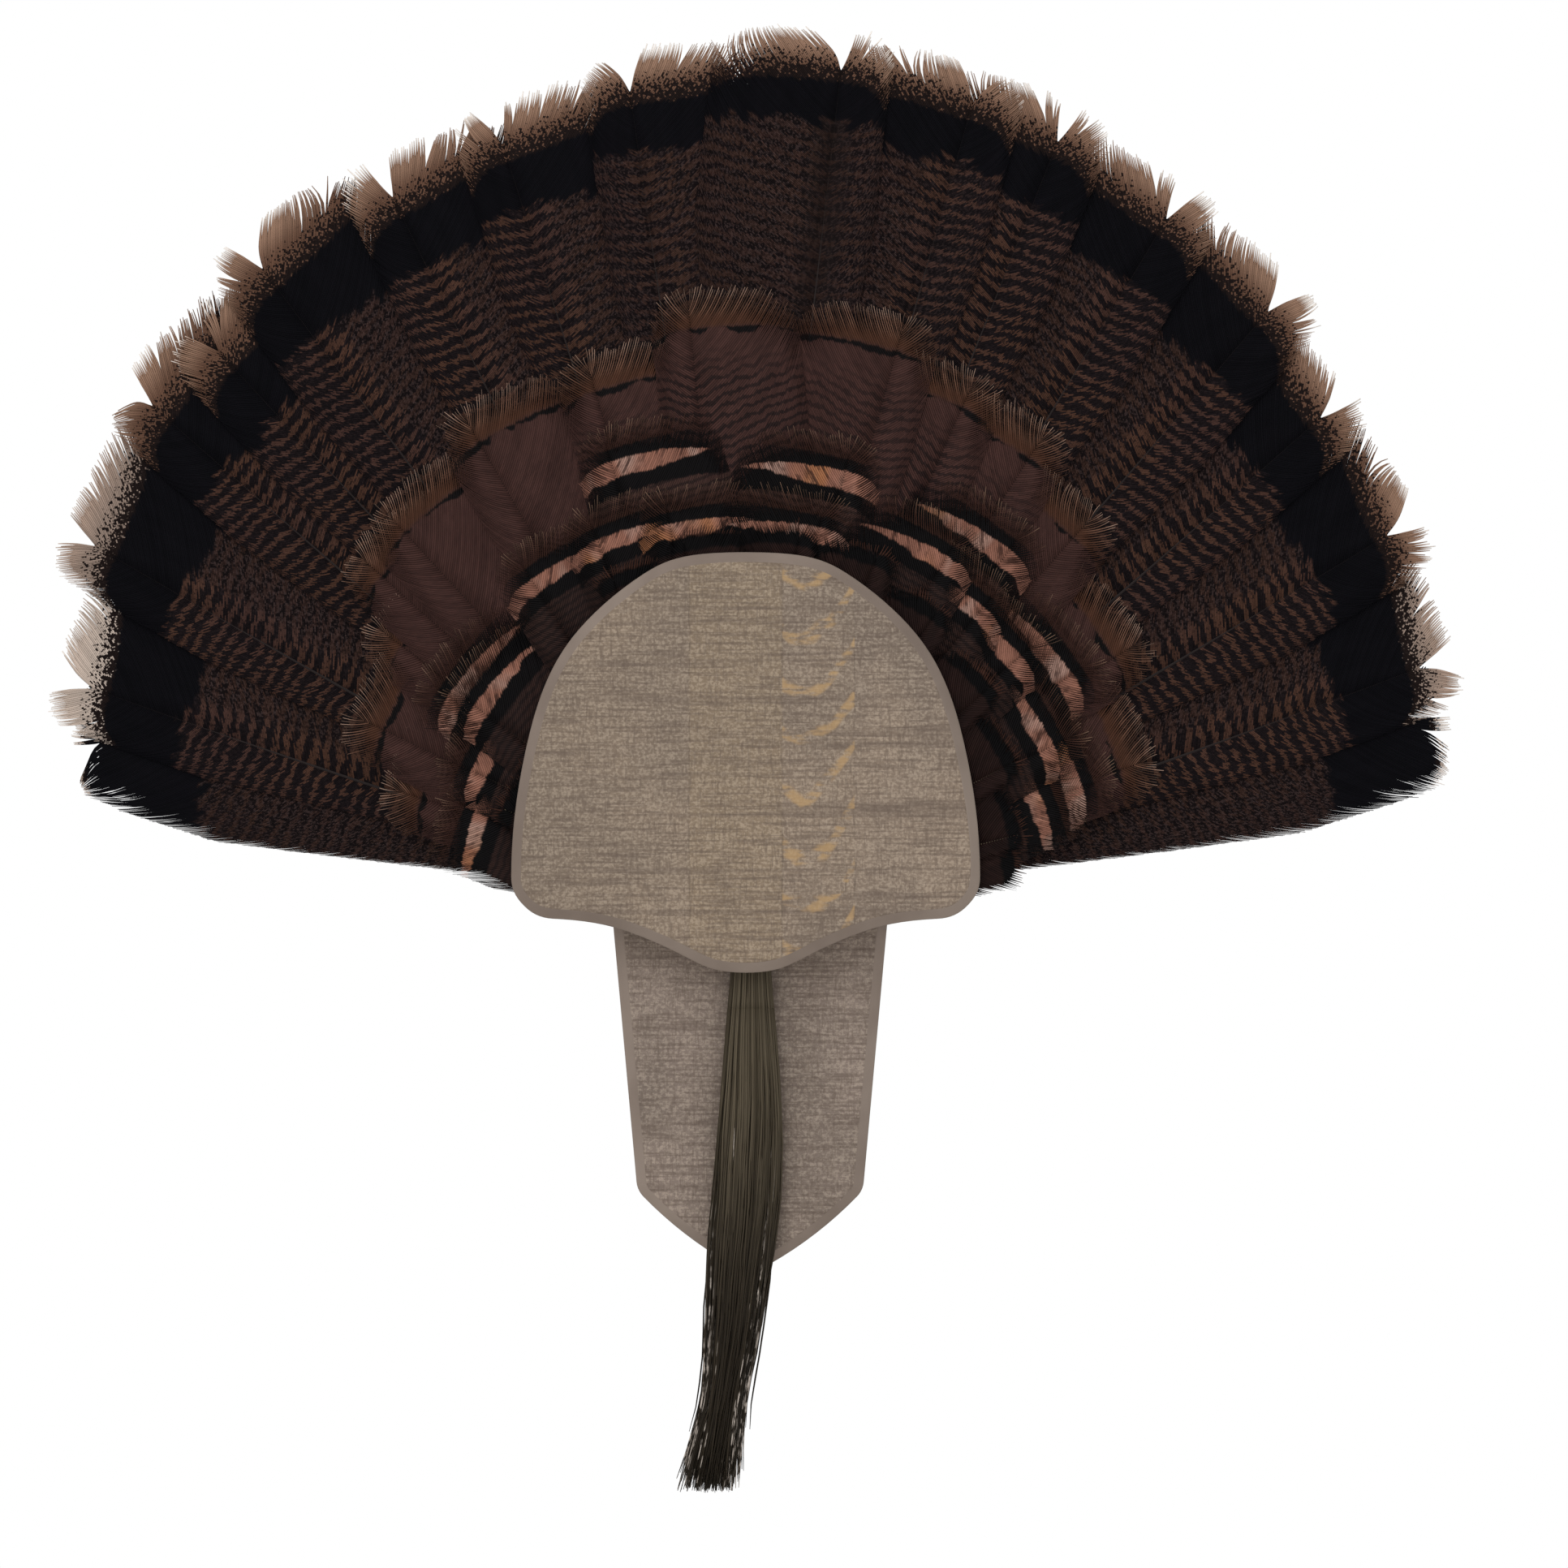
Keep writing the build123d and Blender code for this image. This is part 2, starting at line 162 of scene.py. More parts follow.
def mesh_object(name, verts, quads, tris, materials, slots, traits):
    """An object from arrays: quads, triangles, per-face material numbers and per-vertex attributes."""
    mesh = bpy.data.meshes.new(name)
    mesh.vertices.add(len(verts))
    mesh.vertices.foreach_set("co", np.asarray(verts, np.float32).ravel())
    corners = np.concatenate([np.ravel(quads), np.ravel(tris)]).astype(np.int32)
    starts = np.concatenate([4 * np.arange(len(quads)), 4 * len(quads) + 3 * np.arange(len(tris))])
    mesh.loops.add(len(corners))
    mesh.loops.foreach_set("vertex_index", corners)
    mesh.polygons.add(len(starts))
    mesh.polygons.foreach_set("loop_start", starts.astype(np.int32))
    for each in materials:
        mesh.materials.append(each)
    mesh.polygons.foreach_set("material_index", np.asarray(slots, np.int32))
    mesh.update(calc_edges=True)
    for key, values in traits.items():
        layer = mesh.attributes.new(key, "FLOAT_VECTOR", "POINT")
        layer.data.foreach_set("vector", np.asarray(values, np.float32).ravel())
    made = bpy.data.objects.new(name, mesh)
    bpy.context.scene.collection.objects.link(made)
    return made


def strips(path, up, half, ridge, tilt=0.0):
    """Closed three-sided strips along many paths at once.

    path is (strips, stations, 3).  Each ring is a flat triangle: its two feet lie half a width to
    either side of the path, and its crest stands ridge above it.  tilt lifts one foot and drops the
    other, so that neighbours lap like shingles.  Returns vertices, quads and the end triangles.
    """
    count, stations, _ = path.shape
    along = np.gradient(path, axis=1)
    across = np.cross(np.broadcast_to(up, path.shape), along)
    across /= np.linalg.norm(across, axis=2, keepdims=True) + 1e-12
    half = np.broadcast_to(half, (count, stations))[..., None]
    ridge = np.broadcast_to(ridge, (count, stations))[..., None]
    lean = np.asarray(up) * tilt
    crest = path + np.asarray(up) * ridge
    ring = np.stack([path + across * half + lean, crest, path - across * half - lean], 2)
    start = (np.arange(count) * stations * 3)[:, None, None]
    here = start + (np.arange(stations - 1) * 3)[None, :, None] + np.arange(3)[None, None, :]
    side = start + (np.arange(stations - 1) * 3)[None, :, None] + (np.arange(3)[None, None, :] + 1) % 3
    quads = np.stack([here, side, side + 3, here + 3], -1).reshape(-1, 4)
    first = start[:, 0, 0]
    last = first + (stations - 1) * 3
    ends = np.concatenate([np.stack([first + 2, first + 1, first], 1),
                           np.stack([last, last + 1, last + 2], 1)])
    return ring.reshape(-1, 3), quads, ends


def tube(path, radius, sides, squash):
    """A closed round tube along one path, as rings of points about it; squash flattens it front to back."""
    along = np.gradient(path, axis=0)
    along /= np.linalg.norm(along, axis=1, keepdims=True)
    across = np.cross(np.broadcast_to(FRONT, along.shape), along)
    across /= np.linalg.norm(across, axis=1, keepdims=True)
    rise = np.cross(along, across)
    turn = np.linspace(0, 2 * np.pi, sides, endpoint=False)
    radius = np.broadcast_to(radius, len(path))[:, None, None]
    rings = path[:, None] + radius * (np.cos(turn)[None, :, None] * across[:, None]
                                      + squash * np.sin(turn)[None, :, None] * rise[:, None])
    rows = np.arange(len(path) - 1)[:, None] * sides
    here = rows + np.arange(sides)[None, :]
    side = rows + (np.arange(sides)[None, :] + 1) % sides
    quads = np.stack([here, side, side + sides, here + sides], -1).reshape(-1, 4)
    verts = np.concatenate([rings.reshape(-1, 3), path[:1], path[-1:]])
    foot, tip = np.full(sides, len(verts) - 2), np.full(sides, len(verts) - 1)
    around = np.arange(sides)
    after = (around + 1) % sides
    base = (len(path) - 1) * sides
    ends = np.concatenate([np.stack([after, around, foot], 1),
                           np.stack([base + around, base + after, tip], 1)])
    return verts, quads, ends


class Batch:
    """Gathers shapes into one mesh, each with its material number and its attributes."""

    def __init__(self):
        self.verts, self.quads, self.tris, self.count = [], [], [], 0
        self.quad_slots, self.tri_slots = [], []
        self.traits = {key: [] for key in TRAITS}

    def put(self, shape, slot=0, **traits):
        verts, quads, tris = shape
        self.verts.append(verts)
        self.quads.append(quads + self.count)
        self.tris.append(tris + self.count)
        self.quad_slots.append(np.full(len(quads), slot))
        self.tri_slots.append(np.full(len(tris), slot))
        for key in TRAITS:
            self.traits[key].append(traits.get(key, np.zeros((len(verts), 3))))
        self.count += len(verts)

    def build(self, name, materials):
        quads, tris = np.concatenate(self.quads), np.concatenate(self.tris)
        slots = np.concatenate(self.quad_slots + self.tri_slots)
        traits = {key: np.concatenate(values) for key, values in self.traits.items()}
        return mesh_object(name, np.concatenate(self.verts), quads, tris, materials, slots, traits)


# ---- where the feathers lie, read from the frame ---------------------------

def solids_of(node):
    """The node's points, one array for each feather in it.

    A tail feather is one solid with a round quill, so its points have many depths.  The flat
    coverts have three depths each: the back, the middle and the front of a thin plate.
    """
    mesh = NODES[node].data
    points = np.zeros(len(mesh.vertices) * 3, np.float32)
    mesh.vertices.foreach_get("co", points)
    points = points.reshape(-1, 3).astype(float)
    if node.startswith("tail_feather"):
        return [points]
    depths = np.unique(np.round(points[:, 1], 5)).reshape(-1, 3)
    return [points[(points[:, 1] > a - 0.01 * MM) & (points[:, 1] < b + 0.01 * MM)] for a, _, b in depths]


base_low, base_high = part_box("fan_base")
HUB = np.array([(base_low.x + base_high.x) / 2, base_low.z])


class Quill:
    """One feather's line in the frame: its foot, direction, length, depth and half widths."""

    def __init__(self, points):
        flat = points[:, [0, 2]]
        tip = flat[np.argmax(np.linalg.norm(flat - HUB, axis=1))]
        near = flat[np.argsort(np.linalg.norm(flat - HUB, axis=1))[:12]].mean(0)
        axis = (tip - near) / np.linalg.norm(tip - near)
        along = (flat - near) @ axis
        foot_rows = along < along.min() + 0.0004
        self.foot = flat[foot_rows].mean(0)
        axis = tip - self.foot
        self.length = float(np.linalg.norm(axis))
        self.axis = axis / self.length
        self.left = np.array([-self.axis[1], self.axis[0]])
        along = (flat - self.foot) @ self.axis
        aside = (flat - self.foot) @ self.left
        vane = along > 0.6 * self.length
        self.depth = float(points[vane, 1].min())
        self.half_left, self.half_right = float(aside.max()), float(-aside.min())
        self.foot_depth = float(points[foot_rows, 1].mean())

    def place(self, along, left, lift):
        """Points in the frame from lengths along and to the left of the shaft, and a rise to the front."""
        flat = self.foot + along[..., None] * self.axis + left[..., None] * self.left
        return np.stack([flat[..., 0], self.depth - lift, flat[..., 1]], -1)


# ---- feather vanes, barb by barb -------------------------------------------

LEVEL_FROM = 0.72       # share of the way to the shoulder at which the margin stops widening
TIP_ZONE = 34 * MM      # the web grows ragged from here to the tip, and fully so
TIP_EASE = 20 * MM      # this much further on
MOST_SHORTER, MOST_LONGER = 9 * MM, 5 * MM
SHAFT_RINGS, SHAFT_SIDES = 60, 8
BARB_OVERLAP = 0.62     # a barb's half width in spaces between barbs: over a half, so no light shows

class Vane:
    """The shape of one feather's web.

    Barbs leave the shaft from start to near the tip.  Each is a quadratic curve from its root to the
    margin, bowed so that it leaves steeply and sweeps towards the tip; sweep is how far along it gets
    for each unit aside.  The margin widens in a straight line, runs level, and from a shoulder closes
    in a superellipse of the power square, cap long, which stops short of the shaft's line: a narrow V
    stays open beyond the last roots, notch giving its half width and depth.  halves, sweeps, caps and
    squares are pairs, left then right; root_share is the web's width at start as a share of half.
    """

    def __init__(self, length, start, halves, sweeps, caps, squares, root_share, notch, bend=1.0):
        self.length, self.start, self.root_share, self.bend = length, start, root_share, bend
        self.half, self.sweep, self.cap, self.square = (
            dict(zip((1, -1), pair)) for pair in (halves, sweeps, caps, squares))
        self.notch_half, self.notch_deep = notch

    def tip_arc(self, side):
        """The closing margin as even steps of its own length, from the shoulder to the V."""
        half, power = self.half[side], 2 / self.square[side]
        last_turn = np.arccos((self.notch_half / half) ** (1 / power))
        turn = np.linspace(0, 1, 600) ** 2 * last_turn
        along = self.length - self.cap[side] + self.cap[side] * np.sin(turn) ** power
        aside = half * np.cos(turn) ** power
        run = np.concatenate([[0], np.cumsum(np.hypot(np.diff(along), np.diff(aside)))])
        return run / run[-1], along, aside

    def margin(self, roots, side):
        """Where the barbs from these roots meet the margin, as (along, aside)."""
        half, reach = self.half[side], self.sweep[side]
        root_half = self.root_share * half
        shoulder = self.length - self.cap[side]
        level = self.start + LEVEL_FROM * (shoulder - self.start)
        slope = (half - root_half) / (level - self.start)
        along = (roots + reach * (root_half - slope * self.start)) / (1 - reach * slope)
        along = np.where(along < level, along, roots + reach * half)
        aside = np.where(along < level, root_half + slope * (along - self.start), half)
        last, end = shoulder - reach * half, self.length - self.notch_deep
        place = np.clip((roots - last) / (end - last), 0, 1) ** 1.5
        run, tip_along, tip_aside = self.tip_arc(side)
        on_side = roots < last
        along = np.where(on_side, along, np.interp(place, run, tip_along))
        return along, np.where(on_side, aside, np.interp(place, run, tip_aside)), end

    def barbs(self, side, rng, look):
        """Curves of all the barbs on one side, as (barbs, stations) points (along, aside).

        Random groups of neighbours are drawn together over their last pull_from, so that the edge
        splits into tufts, and their lengths differ by ragged.  Also returned are the roots, the
        distance from each barb to the next square to its own direction, the share of the barb at each
        station, one random number for each group, and how far into the ragged tip each barb ends."""
        _, _, end = self.margin(np.array([self.start]), side)
        count, stations = int((end - self.start) / look["spacing"]), look["stations"]
        roots = np.linspace(self.start, end, count)
        along, aside, _ = self.margin(roots, side)
        share = np.linspace(0, 1, stations)[None, :]
        share = share * (1.3 - 0.3 * share)
        groups = np.cumsum(rng.random(count) < look["splits"])
        per_group = rng.normal(0, 1, groups[-1] + 1)[groups]
        tipness = np.clip((along - (self.length - TIP_ZONE)) / TIP_EASE, 0, 1)
        chord = np.stack([along - roots, aside], -1)
        full = np.linalg.norm(chord, axis=1)
        uneven = look["ragged"] * rng.normal(0, 1, count) + 0.6 * look["ragged"] * per_group
        grow = 1 + np.clip(uneven * (0.2 + 0.8 * tipness), -MOST_SHORTER, MOST_LONGER) / full
        near = np.stack([roots, 0 * roots], -1)
        bow = look["sweep_bow"] * (1 - 0.55 * tipness)
        middle = near + 0.5 * chord + bow[:, None] * np.stack([-chord[:, 1], chord[:, 0]], -1)
        far = near + chord * grow[:, None]
        t = share[..., None]
        curve = (1 - t) ** 2 * near[:, None] + 2 * t * (1 - t) * middle[:, None] + t ** 2 * far[:, None]
        even = curve - t ** 2 * (chord * (grow - 1)[:, None])[:, None]
        ahead, beside = np.gradient(even, axis=1), np.gradient(even, axis=0)
        gap = np.abs(ahead[..., 0] * beside[..., 1] - ahead[..., 1] * beside[..., 0])
        gap /= np.linalg.norm(ahead, axis=2)
        sums = np.zeros((groups[-1] + 1, stations, 2))
        np.add.at(sums, groups, curve)
        means = (sums / np.bincount(groups)[:, None, None])[groups]
        pull = look["gather"] * np.abs(rng.normal(0.4, 0.5, groups[-1] + 1))[groups] * (0.06 + 0.94 * tipness)
        last_part = np.clip(1 - full[:, None] * (1 - share) / look["pull_from"], 0, 1) ** 1.6
        curve = curve + (means - curve) * (np.clip(pull, 0, 0.8)[:, None] * last_part)[..., None]
        return roots, curve, gap, share, per_group, tipness

    def tip_line(self, aside, side, rise):
        """How far along the colour bands' outermost line lies at a distance aside.

        It follows the margin, flattened by bend.  Where rise is given it runs on past the margin by
        that much instead, so that the pale end bands leave the feather before its inner corner."""
        share = np.clip(np.abs(aside) / self.half[side], 0, 0.93)
        if rise:
            return self.length + rise * share ** 1.5
        square = self.square[side]
        return self.length - self.bend * self.cap[side] * (1 - (1 - share ** square) ** (1 / square))


def three_times(found):
    """Attributes of a path's stations, repeated for the three points of each ring of strips()."""
    return {key: np.repeat(values.reshape(-1, 3), 3, axis=0) for key, values in found.items()}


def put_vane(batch, quill, vane, rng, look):
    """Adds a feather's barbs, both sides, to a batch.

    look gives these, lengths in metres:
      spacing, stations          of the barbs, and how many points each has
      splits, gather, pull_from  how often the edge parts, how tightly tufts draw in, over what length
      ragged, sweep_bow          unevenness of the barbs' lengths, bow of each barb
      loose, fine, taper         length of the unhooked ends, how thin they get and how fast
      bow, tilt, wave, curl      curve of the shaft, rise of the outer edge, of each tuft, of loose ends
      ridge, shingle             relief of one barb, and how it laps the next
      outer                      +1 when the outer web is on the left, -1 when it is on the right
      inner_rise, aside_shift    how far the bands run past the inner corner, pattern's shift off the shaft
      shaft_short                how far short of the tip the shaft ends
      kind, tipping              values handed to the material
    """
    for side in (1, -1):
        roots, curve, gap, share, per_group, tipness = vane.barbs(side, rng, look)
        along, aside = curve[..., 0], side * curve[..., 1]
        reach = np.linalg.norm(np.diff(curve, axis=1), axis=2).sum(1)
        from_end = reach[:, None] * (1 - share)
        rise = 0.0 if side == look["outer"] else look["inner_rise"]
        from_tip = vane.tip_line(aside, side, rise) - along
        loose = np.clip(1 - from_end / look["loose"], 0, 1) * (0.1 + 0.9 * tipness)[:, None]
        shaft = look["bow"] * 4 * (along / quill.length) * (1 - along / quill.length)
        width = BARB_OVERLAP * gap * (1 - (1 - look["fine"]) * loose ** look["taper"])
        outer = look["outer"] * aside / max(vane.half.values())
        lift = look["tilt"] * outer * np.clip(along / quill.length, 0, 1)
        lift = lift + look["wave"] * per_group[:, None] * share + look["curl"] * loose ** 2
        path = quill.place(along, aside + shaft, lift)
        shape = strips(path, FRONT, width, look["ridge"], look["shingle"])
        number = np.broadcast_to((roots / look["spacing"])[:, None], along.shape)
        chance = np.broadcast_to(rng.random(len(roots))[:, None], along.shape)
        found = {
            "vane": np.stack([along, look["outer"] * aside + look["aside_shift"], from_tip], -1) / MM,
            "barb": np.stack([number, reach[:, None] * share / MM, chance], -1),
            "kind": np.broadcast_to(np.asarray(look["kind"], float), along.shape + (3,)),
            "tipping": np.broadcast_to(np.asarray(look["tipping"], float), along.shape + (3,)),
        }
        batch.put(shape, 0, **three_times(found))


def put_shaft(batch, quill, look, calamus, root_radius, tip_radius, start, flat=0.6):
    """Adds the shaft: from the foot it rises to the web, and tapers to the tip.

    calamus, root_radius and tip_radius are its radii at the foot, where the web starts and at the
    tip; flat is its thickness as a share of its width."""
    along = np.linspace(0, quill.length - look["shaft_short"], SHAFT_RINGS)
    share = along / quill.length
    bow = look["bow"] * 4 * share * (1 - share)
    path = quill.place(along, bow, 0 * along)
    rise = np.clip(along / start, 0, 1)
    path[:, 1] = quill.foot_depth + (path[:, 1] + 0.25 * MM - quill.foot_depth) * rise
    radius = np.interp(along, [0, 0.7 * start, start, quill.length],
                       [calamus, calamus, root_radius, tip_radius])
    shape = tube(path, radius, SHAFT_SIDES, flat)
    kind = np.tile(np.asarray(look["kind"], float), (len(shape[0]), 1))
    line = np.zeros((len(shape[0]), 3))
    line[:, 0] = (shape[0][:, [0, 2]] - quill.foot) @ quill.axis / MM
    batch.put(shape, 1, vane=line, barb=line, kind=kind)


# ---- feather materials -----------------------------------------------------

def traits(tree):
    """The attributes as separate sockets, and the raw vectors."""
    found = {}
    for key in TRAITS:
        vector = add(tree, "Attribute", out=1, attribute_name=key)
        found[key] = vector
        for number, letter in enumerate("xyz"):
            found[key + "_" + letter] = add(tree, "SeparateXYZ", {0: vector}, out=number)
    return found


def barb_space(tree, t, across, along):
    """A pattern space that follows the barbs: one unit is this many barbs across and this many mm along."""
    x = times(tree, t["barb_x"], 1 / across)
    y = times(tree, t["barb_y"], 1 / along)
    z = times(tree, t["kind_z"], 37.0)
    return add(tree, "CombineXYZ", {0: x, 1: y, 2: z})


def vane_space(tree, t, along, aside):
    """A pattern space square to the shaft: one unit is this many mm along and aside of it."""
    x = times(tree, t["vane_x"], 1 / along)
    y = times(tree, t["vane_y"], 1 / aside)
    z = times(tree, t["kind_z"], 53.0)
    return add(tree, "CombineXYZ", {0: x, 1: y, 2: z})


def finish_feather(tree, t, shader, colour, comb=0.0):
    """Links the colour, shaded a little differently from barb to barb.

    Over the last comb millimetres before the tip, where the barbs part, the difference is stronger."""
    shade = step(tree, t["barb_z"], 0.0, 1.0, 0.86, 1.12)
    if comb:
        near_tip = step(tree, t["vane_z"], comb, 0.6 * comb)
        contrast = step(tree, t["barb_z"], 0.25, 0.75, 0.62, 1.5)
        shade = times(tree, shade, add(tree, "Mix", {0: near_tip, 2: 1.0, 3: contrast}))
    colour = mix(tree, 1.0, colour, add(tree, "CombineXYZ", {0: shade, 1: shade, 2: shade}), "MULTIPLY")
    tree.links.new(colour, shader.inputs["Base Color"])


def tail_vane_material():
    """Turkey tail feather: melanin-dark web, barred and mottled in rust, with a black band and pale tip.

    The eye sees a matte, fibrous surface with almost no highlight.
    kind holds x = how mottled rather than barred (0 to 1), y = where along the shaft the black band
    begins (mm), z = the feather's own number.  tipping holds x = width of the pale fringe (mm),
    y = width of the speckled band inside it (mm), z = how pale the fringe is (0 to 1).
    """
    made, tree, shader = material("tail_feather_keratin", Roughness=0.75, Specular_Ior_Level=0.03)
    t = traits(tree)
    aside = calc(tree, "ABSOLUTE", t["vane_y"])
    fine = noise(tree, barb_space(tree, t, 1.7, 2.0), 1.0, 2.0, 0.6)
    wide = noise(tree, vane_space(tree, t, 16.0, 13.0), 1.0, 2.0, 0.5)
    slow = noise(tree, vane_space(tree, t, 70.0, 40.0), 1.0, 1.0)
    wave = swing(tree, wide, 7.0)
    saw = swing(tree, noise(tree, barb_space(tree, t, 1.5, 40.0), 1.0, 1.0), 8.5)
    place = plus(tree, plus(tree, t["vane_x"], wave), saw)
    place = minus(tree, place, times(tree, aside, 0.14))
    ripple = ripples(tree, place, 6.6)
    inner = step(tree, t["vane_y"], 1.0, -1.0)
    low = minus(tree, 0.3, times(tree, inner, 0.45))
    bars = step(tree, ripple, low, plus(tree, low, 0.35))
    broken = times(tree, bars, step(tree, fine, 0.34, 0.5, 0.25, 1.0))
    rust = mix(tree, step(tree, slow, 0.35, 0.65), "#3f2c27", "#4c3429")
    dark = mix(tree, step(tree, fine, 0.4, 0.7), "#130f11", "#1f1819")
    barred = mix(tree, broken, dark, rust)
    pepper = mix(tree, step(tree, fine, 0.46, 0.62), "#110c0d", "#332827")
    pepper = mix(tree, times(tree, broken, 0.4), pepper, rust)
    edge = plus(tree, t["vane_y"], swing(tree, wide, 14.0))
    mottled = calc(tree, "MAXIMUM", step(tree, edge, 21.0, 31.0), t["kind_x"])
    mottled = calc(tree, "MAXIMUM", mottled, step(tree, edge, -10.0, -16.0))
    colour = mix(tree, mottled, barred, pepper)
    olive = times(tree, step(tree, aside, 16.0, 4.0), step(tree, t["kind_x"], 0.8, 0.9))
    colour = mix(tree, times(tree, olive, 0.55), colour, "#1b1514")
    colour = mix(tree, step(tree, slow, 0.4, 0.75, 0.0, 0.3), colour, "#191314")

    jag = swing(tree, noise(tree, barb_space(tree, t, 2.4, 11.0), 1.0, 3.0), 7.0)
    depth = plus(tree, t["vane_z"], jag)
    speckled = plus(tree, t["tipping_x"], t["tipping_y"])
    torn = swing(tree, noise(tree, barb_space(tree, t, 7.0, 45.0)), 22.0)
    past = plus(tree, minus(tree, t["kind_y"], t["vane_x"]), plus(tree, jag, torn))
    past = minus(tree, past, times(tree, aside, 0.1))
    black = mix(tree, noise(tree, vane_space(tree, t, 25.0, 8.0)), "#07070a", "#0e0d11")
    colour = mix(tree, step(tree, past, -1.0, 2.5), black, colour)
    inside = add(tree, "MapRange", {"Value": t["vane_z"], 1: t["tipping_x"], 2: speckled, 3: 0.62, 4: 0.36})
    spots = noise(tree, barb_space(tree, t, 1.6, 2.2), 1.0, 2.0, 0.6)
    dots = step(tree, minus(tree, spots, inside), -0.03, 0.03)
    pale = t["tipping_z"]
    tan = mix(tree, step(tree, t["vane_z"], 20.0, 4.0), "#5c4336", "#8c6f5d")
    tan = mix(tree, pale, tan, "#cdbfb3")
    tan = mix(tree, step(tree, t["vane_z"], 6.0, -1.0), tan, "#e2d8cf")
    tipped = mix(tree, dots, tan, "#1b1413")
    tipped = mix(tree, step(tree, minus(tree, t["vane_z"], t["tipping_x"]), 0.5, -1.5), tipped, tan)
    clear = minus(tree, depth, speckled)
    colour = mix(tree, step(tree, clear, 1.0, -1.0), colour, tipped)
    finish_feather(tree, t, shader, colour)
    return made


def long_covert_material():
    """Long upper tail covert: satin chestnut web, a thin black line and a buff comb of loose barbs.

    kind_x is how strongly the web is barred."""
    made, tree, shader = material("covert_keratin_chestnut", Roughness=0.6, Specular_Ior_Level=0.06)
    t = traits(tree)
    soft = noise(tree, vane_space(tree, t, 22.0, 10.0), 1.0, 3.0)
    grain = noise(tree, barb_space(tree, t, 1.5, 9.0))
    body = mix(tree, soft, "#2f1e1b", "#442d29")
    body = mix(tree, step(tree, grain, 0.5, 0.7, 0.0, 0.35), body, "#2a1a19")
    saw = times(tree, noise(tree, barb_space(tree, t, 2.0, 20.0)), 3.0)
    place = plus(tree, plus(tree, t["vane_x"], saw), times(tree, soft, 8.0))
    place = minus(tree, place, times(tree, calc(tree, "ABSOLUTE", t["vane_y"]), 0.3))
    bars = step(tree, ripples(tree, place, 4.8), 0.1, 0.6)
    deep = times(tree, step(tree, t["vane_z"], 22.0, 48.0), t["kind_x"])
    body = mix(tree, times(tree, bars, deep), body, "#171112")
    jag = swing(tree, noise(tree, barb_space(tree, t, 3.0, 8.0)), 3.0)
    depth = plus(tree, t["vane_z"], jag)
    thick = step(tree, noise(tree, vane_space(tree, t, 60.0, 18.0)), 0.38, 0.6, -0.7, 3.0)
    line = times(tree, step(tree, depth, 19.0, 20.0),
                step(tree, minus(tree, depth, thick), 20.6, 19.4))
    colour = mix(tree, line, body, "#0d0a0b")
    colour = mix(tree, step(tree, depth, 20.5, 17.5), colour, "#40281d")
    colour = mix(tree, step(tree, depth, 16.0, 7.0), colour, "#543c30")
    colour = mix(tree, step(tree, depth, 7.0, 1.0), colour, "#7b6558")
    finish_feather(tree, t, shader, colour, 15.0)
    return made


def copper_covert_material(name, body_dark, body_light, fringe, copper_end, black_end):
    """Shorter covert: rust fringe, black line, a copper band with interference colour, a black band.

    fringe, copper_end and black_end are where the three end, in mm short of the tip.  The copper is a
    lens: widest beside the shaft, tapering towards the margin."""
    made, tree, shader = material(name, Roughness=0.55, Specular_Ior_Level=0.06)
    t = traits(tree)
    aside = calc(tree, "ABSOLUTE", t["vane_y"])
    soft = noise(tree, vane_space(tree, t, 22.0, 9.0), 1.0, 3.0)
    uneven = swing(tree, noise(tree, vane_space(tree, t, 20.0, 12.0)), 7.0)
    jag = swing(tree, noise(tree, barb_space(tree, t, 3.0, 8.0)), 2.4)
    depth = plus(tree, t["vane_z"], jag)
    body = mix(tree, soft, body_dark, body_light)
    place = plus(tree, t["vane_x"], times(tree, soft, 5.0))
    bars = step(tree, ripples(tree, place, 3.6), 0.0, 0.5)
    body = mix(tree, times(tree, bars, 0.6), body, "#120e0f")
    crack = noise(tree, barb_space(tree, t, 3.0, 16.0), 1.0, 3.0, 0.6)
    pink = mix(tree, soft, "#5e3e34", "#9a6b5a")
    silver = step(tree, noise(tree, vane_space(tree, t, 40.0, 18.0)), 0.5, 0.65)
    pink = mix(tree, times(tree, silver, 0.6), pink, "#a0857a")
    gold = step(tree, noise(tree, vane_space(tree, t, 60.0, 30.0)), 0.55, 0.7)
    pink = mix(tree, times(tree, gold, 0.5), pink, "#9c6434")
    pink = mix(tree, step(tree, crack, 0.5, 0.66, 0.0, 0.85), pink, "#33201b")
    black = "#0a0809"
    lens = times(tree, times(tree, aside, aside), 0.0018)
    near = minus(tree, plus(tree, depth, times(tree, uneven, 0.25)), lens)
    far = plus(tree, plus(tree, depth, uneven), lens)
    colour = mix(tree, step(tree, depth, black_end, black_end - 1.2), body, black)
    copper = times(tree, step(tree, far, copper_end + 0.6, copper_end - 0.6),
                  step(tree, near, fringe + 5.4, fringe + 6.4))
    colour = mix(tree, copper, colour, pink)
    colour = mix(tree, step(tree, depth, fringe + 0.5, fringe - 0.8), colour, "#2d1b15")
    colour = mix(tree, step(tree, depth, 0.7 * fringe, 0.3 * fringe), colour, "#3d2b22")
    colour = mix(tree, step(tree, depth, 0.35 * fringe, 0.0), colour, "#5c493c")
    finish_feather(tree, t, shader, colour, 0.9 * fringe)
    return made


